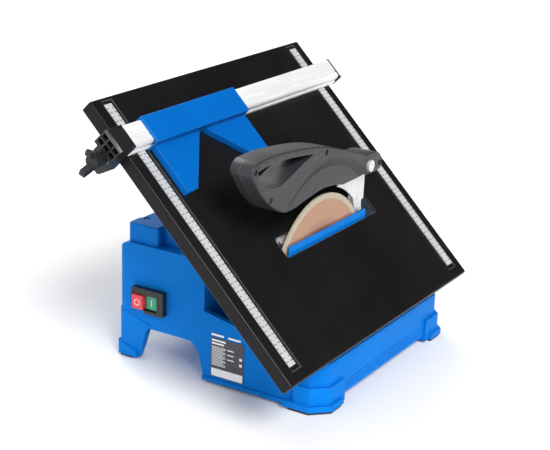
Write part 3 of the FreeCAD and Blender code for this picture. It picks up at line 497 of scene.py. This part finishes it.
def without(mesh, *others):
    """The mesh with the others taken out of it."""
    holder = bpy.data.objects.new("holder", mesh)
    bpy.context.scene.collection.objects.link(holder)
    carve(holder, *others)
    result = holder.data
    bpy.data.objects.remove(holder)
    return result


def block_mesh(low, high):
    """Cuboid between two corners given in metres."""
    edit = bmesh.new()
    bmesh.ops.create_cube(edit, size=1.0)
    size = Vector(high) - Vector(low)
    bmesh.ops.scale(edit, vec=size, verts=edit.verts)
    bmesh.ops.translate(edit, vec=(Vector(low) + Vector(high)) / 2, verts=edit.verts)
    mesh = bpy.data.meshes.new("block")
    edit.to_mesh(mesh)
    edit.free()
    return mesh


# ---------------------------------------------------------------- blade guard

# Outlines in Y and Z at rest, in machine millimetres. Each run is a smooth curve through its points, and
# runs meet in corners: the guard's silhouette, its handle hole and the groove around the hole.
GUARD_RUNS = [
    [(66.8, 219.2), (20.6, 234.9), (-34.3, 250.4), (-102, 259.0), (-138, 259.6), (-149.5, 258.4),
     (-155.5, 255), (-157.2, 250.5), (-154.2, 243.2), (-137, 222), (-114, 204.8), (-94, 196.9), (-75, 195.0),
     (-46, 199.0), (-16, 202.0), (8, 199.6), (24.5, 196.0)],
    [(59, 196.0), (65, 198.0), (70, 196.9), (90, 196.2), (99.5, 199), (101, 206), (98, 213.8), (88, 218.4),
     (77, 219.9), (70, 219.6)],
]
HOLE_RUNS = [
    [(-147.6, 250.6), (-128.2, 252.5), (-101.5, 251.9), (-71.7, 248.8), (-45.5, 245.3)],
    [(-47, 244.2), (-70.8, 237.6), (-100.1, 228.3), (-113, 226.8), (-124, 228.4), (-136, 233.2),
     (-143, 240.1), (-148, 249)],
]
BORDER_RUNS = [
    [(-152.1, 253.6), (-128.3, 255.3), (-101.7, 254.5), (-71.8, 251.3), (-38.4, 246.0), (-32.6, 243),
     (-36.5, 240.2), (-57.7, 236.1), (-83.1, 227.4), (-99.7, 223.2), (-116.4, 222.8), (-132, 226.6),
     (-141, 232.4), (-147.5, 241.3)],
]

# Room inside the guard for the blade, in Y and Z.
BLADE_LANE = [(-66, 150), (62, 150), (62, 199), (-12, 212), (-66, 206)]

# Arrow cut into the step: it shows which way the blade turns.
ARROW = [(-35, 206.2), (-24, 209.2), (-10, 210.8), (3, 210.6), (7.5, 208.4), (7.1, 207.2), (3, 209.2),
         (-10, 209.4), (-24, 207.9), (-34.6, 205)]
ARROW_CUT = 1.6

# The faces step back inside a cone about HOOD_CENTRE.
HOOD_CENTRE = (-12.5, 110.5)
HOOD_R = 112.0
HOOD_EDGE_R = 122.0
HOOD_DEPTH = 4.6

# Each half is GUARD_HALF wide; SPLIT_GAP is half the parting line between them.
GUARD_HALF = 15.0
GUARD_WALL = 2.2
SPLIT_GAP = 0.15
LEFT_ROUNDING = 4.2
RIGHT_ROUNDING = 1.6
BOLT_HOLE_R = 4.1
SCREWS = [(-151.3, 250.6), (-123.4, 216.5), (-19.7, 241.0), (96.0, 204.6)]
SCREW_RECESS_R = 3.4
SCREW_RECESS_DEPTH = 3.0
GROOVE_OUT = 0.3
GROOVE_IN = 0.35
GROOVE_CUT = 1.2

# Front of the left half: where it starts to draw in, over what length, and how far at the outer face.
NOSE_START, NOSE_LENGTH, NOSE_DRAW = -118.0, 34.0, 8.5


def draw_in_nose(piece):
    """Pull the front of the left half back towards its outer face."""
    for vertex in piece.data.vertices:
        x, y = vertex.co.x / MM - SHIFT.x, vertex.co.y / MM - SHIFT.y
        depth = min(1.0, max(0.0, (BLADE_X - x) / GUARD_HALF))
        reach = min(1.0, max(0.0, (NOSE_START - y) / NOSE_LENGTH))
        vertex.co.y += NOSE_DRAW * depth ** 4 * reach * MM


def guard_half(node, side, edge):
    """One moulded half; side is -1 for the left half and 1 for the right, edge its outer rounding."""
    face = BLADE_X + side * GUARD_HALF
    outline, hole, border = (smooth_loop(runs) for runs in (GUARD_RUNS, HOLE_RUNS, BORDER_RUNS))

    # Rounded plate wider than the half, with the handle hole, cut off at the parting line.
    middle = face - side * GUARD_HALF * 1.2
    thick = GUARD_HALF * 2.4
    plate = plate_mesh([outline], middle, thick, edge, 0.0, 5)
    piece = new_piece(node + "_shell", plate, "guard", "guard_plastic")
    carve(piece, plate_mesh([hole], BLADE_X, thick))
    low_x, high_x = sorted((BLADE_X + side * SPLIT_GAP, BLADE_X - side * 40))
    carve(piece, block_mesh(at(low_x, -200, 150), at(high_x, 150, 300)))

    # Hollow around the handle, and the blade's room.
    deep = GUARD_HALF - HOOD_DEPTH - GUARD_WALL
    hollow = without(plate_mesh([outline], BLADE_X, 2 * deep, 0.0, -GUARD_WALL),
                     plate_mesh([border], BLADE_X, 3 * deep, 0.0, GUARD_WALL))
    carve(piece, hollow, plate_mesh([BLADE_LANE], BLADE_X, 2 * deep))

    # Stepped face and bolt hole.
    ends = sorted((face - side * HOOD_DEPTH, face + side * 0.3))
    radii = (HOOD_R, HOOD_EDGE_R) if side > 0 else (HOOD_EDGE_R, HOOD_R)
    carve(piece, frustum_mesh(*ends, *HOOD_CENTRE, *radii))
    carve(piece, frustum_mesh(BLADE_X - 20, BLADE_X + 20, *BOLT, BOLT_HOLE_R, BOLT_HOLE_R, 40))

    if side > 0:
        carve_face_details(piece, face, border)
    else:
        draw_in_nose(piece)
    crisp(piece, GUARD_SHARP_ANGLE)
    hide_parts(node)


def carve_face_details(piece, face, border):
    """Screw recesses, the groove around the handle and the arrow, in the right-hand face."""
    for y, z in SCREWS:
        bottom = face - SCREW_RECESS_DEPTH
        carve(piece, frustum_mesh(bottom, face + 1, y, z, SCREW_RECESS_R, SCREW_RECESS_R, 32))
    groove = without(plate_mesh([border], face, GROOVE_CUT, 0.0, GROOVE_OUT),
                     plate_mesh([border], face, 4.0, 0.0, -GROOVE_IN))
    carve(piece, groove)
    carve(piece, plate_mesh([ARROW], face - HOOD_DEPTH, ARROW_CUT))


guard_half("guard_left", -1, LEFT_ROUNDING)
guard_half("guard_right", 1, RIGHT_ROUNDING)


# ---------------------------------------------------------------- rounded copies of the CAD nodes

# Width of the rounding in millimetres.
SOFT_EDGES = {
    "base_housing": 0.9, "motor_cover": 0.6, "blade_cover": 0.4, "table_top": 0.35,
    "fence_profile": 0.3, "fence_end_cap": 0.4, "clamp_bracket": 0.5, "wing_knob": 0.7,
    "angle_guide": 0.6, "switch_housing": 0.5,
    "stop_button": 0.4, "start_button": 0.4, "rubber_feet": 0.5, "knife_carrier": 0.3,
    "front_lock_knob": 0.6, "rear_lock_knob": 0.6, "cable_gland": 0.5,
}

for node_name in NODES:
    finish_node(node_name)
for node_name, edge_width in SOFT_EDGES.items():
    softened(node_name, edge_width)


# ---------------------------------------------------------------- marks and symbols

CUBOID_FACES = ((0, 1, 2, 3), (7, 6, 5, 4), (0, 4, 5, 1), (1, 5, 6, 2), (2, 6, 7, 3), (3, 7, 4, 0))


def cuboid(place, low, high):
    """Eight corners of a block between two points, in the axes of place."""
    pick = (low, high)
    floor_plan = ((0, 0), (1, 0), (1, 1), (0, 1))
    return [place(pick[i][0], pick[j][1], pick[k][2]) for k in (0, 1) for i, j in floor_plan]


def cuboids_mesh(name, blocks):
    """Many small plates in one mesh; each block is a list of eight corners."""
    edit = bmesh.new()
    for corners in blocks:
        verts = [edit.verts.new(corner) for corner in corners]
        for face in CUBOID_FACES:
            edit.faces.new([verts[i] for i in face])
    bmesh.ops.recalc_face_normals(edit, faces=edit.faces)
    mesh = bpy.data.meshes.new(name)
    edit.to_mesh(mesh)
    edit.free()
    return mesh


def mark(name, mesh, node, ink):
    """Printed mark in ink that rides with a node."""
    piece = new_piece(name, mesh, body_name(node), SLOT_OF[node])
    piece.data.materials.clear()
    piece.data.materials.append(ink)


# The inks are moulded finishes too, so their edges also get scuffs and a painted highlight.
SCALE_INK = moulded("scale_ink", (0.07, 0.07, 0.075), 0.5, 0.02, ((0.3, 0.3, 0.3), 0.2), 0.3)
LABEL_INK = moulded("label_ink", (0.85, 0.86, 0.87), 0.5, 0.02, ((0.8, 0.8, 0.8), 0.2), 0.3)
SYMBOL_INK = moulded("symbol_ink", (0.75, 0.55, 0.55), 0.4, 0.02, ((0.9, 0.9, 0.9), 0.2), 0.3)

# Scales: lines across the strips, in table millimetres.
SCALE_START, SCALE_END = 8.0, 313.0
SCALE_STEP = 5
LINE_HALF = 0.35
LINE_INSET = 0.2
SHORT_LINE, LONG_LINE = 2.8, 4.4
LINE_BOTTOM, LINE_TOP = -0.13, -0.04


def scale_marks(name, node, v_low, v_high):
    """A short line every 5 mm and a long one every 10 mm, from both sides of a strip."""
    lines = []
    for k in range(int((SCALE_END - SCALE_START) / SCALE_STEP) - 1):
        u = SCALE_START + SCALE_STEP * (k + 1)
        reach = LONG_LINE if k % 2 else SHORT_LINE
        for v0, v1 in ((v_low + LINE_INSET, v_low + reach), (v_high - reach, v_high - LINE_INSET)):
            lines.append(cuboid(on_table, (u - LINE_HALF, v0, LINE_BOTTOM), (u + LINE_HALF, v1, LINE_TOP)))
    mark(name, cuboids_mesh(name, lines), node, SCALE_INK)


scale_marks("left_scale_marks", "left_scale", 14.7, 25.8)
scale_marks("right_scale_marks", "right_scale", 355.0, 366.5)

# Rating label in X and Z: plain bars only, each as (left, right, bottom, top).
LABEL_LEFT, LABEL_RIGHT, LABEL_LOW = -30.5, 9.5, 9.4
LABEL_TEXT = LABEL_LEFT + 1.2
LABEL_COLUMN = LABEL_LEFT + 18


def label_bars():
    """Pale strip below, two headings, a block of lines, side lines, two squares and two bars above."""
    bars = [(LABEL_LEFT + 1, LABEL_RIGHT - 1, LABEL_LOW + 0.8, LABEL_LOW + 9.2)]
    bars += [(LABEL_TEXT, LABEL_COLUMN, 48.6, 50.6), (LABEL_TEXT, LABEL_COLUMN - 2, 45.2, 47.2)]
    for k in range(14):
        top = 42.9 - 1.55 * k
        bars.append((LABEL_TEXT, LABEL_COLUMN - 3 * (k % 3 == 2), top - 0.7, top))
    bars += [(LABEL_LEFT + 20, LABEL_LEFT + 28, 41.5 - 5.2 * k, 42.6 - 5.2 * k) for k in range(3)]
    bars += [(LABEL_RIGHT - 5.2, LABEL_RIGHT - 2, 34 - 6.4 * k, 37 - 6.4 * k) for k in range(2)]
    bars += [(LABEL_LEFT + 0.5, LABEL_LEFT + 15.5, 54.4, 56.6)]
    bars += [(LABEL_LEFT + 21, LABEL_LEFT + 36, 54.4, 56.4)]
    blocks = [cuboid(at, (x0, FRONT - 0.68, z0), (x1, FRONT + 0.1, z1)) for x0, x1, z0, z1 in bars]
    mark("label_bars", cuboids_mesh("label_bars", blocks), "rating_plate", LABEL_INK)


def button_symbols():
    """Stop ring and start bar, lying on the faces of the two buttons."""
    stop_face = FRONT - 9.5
    start_face = FRONT - 4.0
    ink_half = 0.06
    disc = frustum_mesh(-ink_half, ink_half, 0.0, 0.0, 3.6, 3.6, 40)
    ring = without(disc, frustum_mesh(-1.0, 1.0, 0.0, 0.0, 2.7, 2.7, 40))
    ring.transform(Matrix.Translation(-at(0, 0, 0)))
    ring.transform(Matrix.Rotation(math.radians(90), 4, "Z"))
    ring.transform(Matrix.Translation(at(-118.2, stop_face, 72.0)))
    mark("stop_ring", ring, "stop_button", SYMBOL_INK)
    bar = cuboid(at, (-103.8, start_face - ink_half, 68.2), (-102.8, start_face + ink_half, 76.0))
    mark("start_bar", cuboids_mesh("start_bar", [bar]), "start_button", SYMBOL_INK)


label_bars()
button_symbols()


# ---------------------------------------------------------------- floor, light and camera

CAMERA_AT = Vector((0.73381, -1.19313, 0.62136))
CAMERA_YAW = math.radians(31.39)
CAMERA_PITCH = math.radians(18.46)
CAMERA_ROLL = math.radians(1.83)
LENS_MM = 92.83
LENS_SHIFT = (0.0017, -0.0045)
MACHINE_MIDDLE = Vector((0.0, 0.0, 0.13))

# Cosines between which the surroundings fade from bright to dim.
FADE_FROM, FADE_TO = 0.5, 0.86


def make_camera():
    """Camera from its place, yaw, pitch and roll."""
    back = Vector((math.sin(CAMERA_YAW) * math.cos(CAMERA_PITCH),
                   -math.cos(CAMERA_YAW) * math.cos(CAMERA_PITCH),
                   math.sin(CAMERA_PITCH)))
    right = (-back).cross(Vector((0, 0, 1))).normalized()
    up = right.cross(-back).normalized()
    turned_right = math.cos(CAMERA_ROLL) * right + math.sin(CAMERA_ROLL) * up
    turned_up = -math.sin(CAMERA_ROLL) * right + math.cos(CAMERA_ROLL) * up
    data = bpy.data.cameras.new("camera")
    data.lens = LENS_MM
    data.sensor_width = 36.0
    data.shift_x, data.shift_y = LENS_SHIFT
    camera = bpy.data.objects.new("camera", data)
    bpy.context.scene.collection.objects.link(camera)
    rotation = Matrix((turned_right, turned_up, back)).transposed().to_4x4()
    camera.matrix_world = Matrix.Translation(CAMERA_AT) @ rotation
    bpy.context.scene.camera = camera


def area_light(name, place, size, power):
    """Square softbox aimed at the machine."""
    data = bpy.data.lights.new(name, "AREA")
    data.shape = "RECTANGLE"
    data.size, data.size_y = size
    data.energy = power
    light = bpy.data.objects.new(name, data)
    light.location = place
    aim = MACHINE_MIDDLE - Vector(place)
    light.rotation_euler = aim.to_track_quat("-Z", "Y").to_euler()
    bpy.context.scene.collection.objects.link(light)


def soft_sun(name, towards, power, spread):
    """Even light from one side, as from a very large softbox far away."""
    data = bpy.data.lights.new(name, "SUN")
    data.energy = power
    data.angle = math.radians(spread)
    light = bpy.data.objects.new(name, data)
    light.rotation_euler = (-Vector(towards)).to_track_quat("-Z", "Y").to_euler()
    bpy.context.scene.collection.objects.link(light)


def make_world(strength, dim_towards, dim_level):
    """White surroundings with one dim side, so that the gloss table mirrors a dark backdrop."""
    world = bpy.data.worlds.new("studio")
    world.use_nodes = True
    tree = world.node_tree
    background = tree.nodes["Background"]
    coords = tree.nodes.new("ShaderNodeTexCoord")
    facing = tree.nodes.new("ShaderNodeVectorMath")
    facing.operation = "DOT_PRODUCT"
    facing.inputs[1].default_value = Vector(dim_towards).normalized()
    tree.links.new(coords.outputs["Generated"], facing.inputs[0])
    level = tree.nodes.new("ShaderNodeMapRange")
    level.interpolation_type = "SMOOTHSTEP"
    level.inputs["From Min"].default_value = FADE_FROM
    level.inputs["From Max"].default_value = FADE_TO
    level.inputs["To Min"].default_value = strength
    level.inputs["To Max"].default_value = dim_level
    tree.links.new(facing.outputs["Value"], level.inputs["Value"])
    tree.links.new(level.outputs["Result"], background.inputs["Strength"])
    background.inputs["Color"].default_value = (1.0, 1.0, 1.0, 1.0)
    bpy.context.scene.world = world


def make_floor():
    """Pale floor with a very faint grain, part of the studio and not of the object."""
    mesh = bpy.data.meshes.new("floor")
    edit = bmesh.new()
    bmesh.ops.create_grid(edit, x_segments=8, y_segments=8, size=6.0)
    edit.to_mesh(mesh)
    edit.free()
    floor = bpy.data.objects.new("floor", mesh)
    bpy.context.scene.collection.objects.link(floor)
    m = Nodes("studio_floor")
    m.colour(m.mix(m.noise(3.0), (0.9, 0.9, 0.9), (0.93, 0.93, 0.93)))
    m.roughness(m.spread(m.noise(40.0), 0.8, 0.9))
    mesh.materials.append(m.material)


make_camera()
make_world(strength=0.84, dim_towards=(0.31, 0.81, 0.49), dim_level=0.03)
make_floor()
soft_sun("key", towards=(0.70, -0.45, 0.72), power=2.9, spread=25.0)
area_light("rim", place=(-1.3, 0.9, 1.2), size=(0.8, 0.8), power=9.0)
bpy.context.scene.view_settings.view_transform = "Standard"
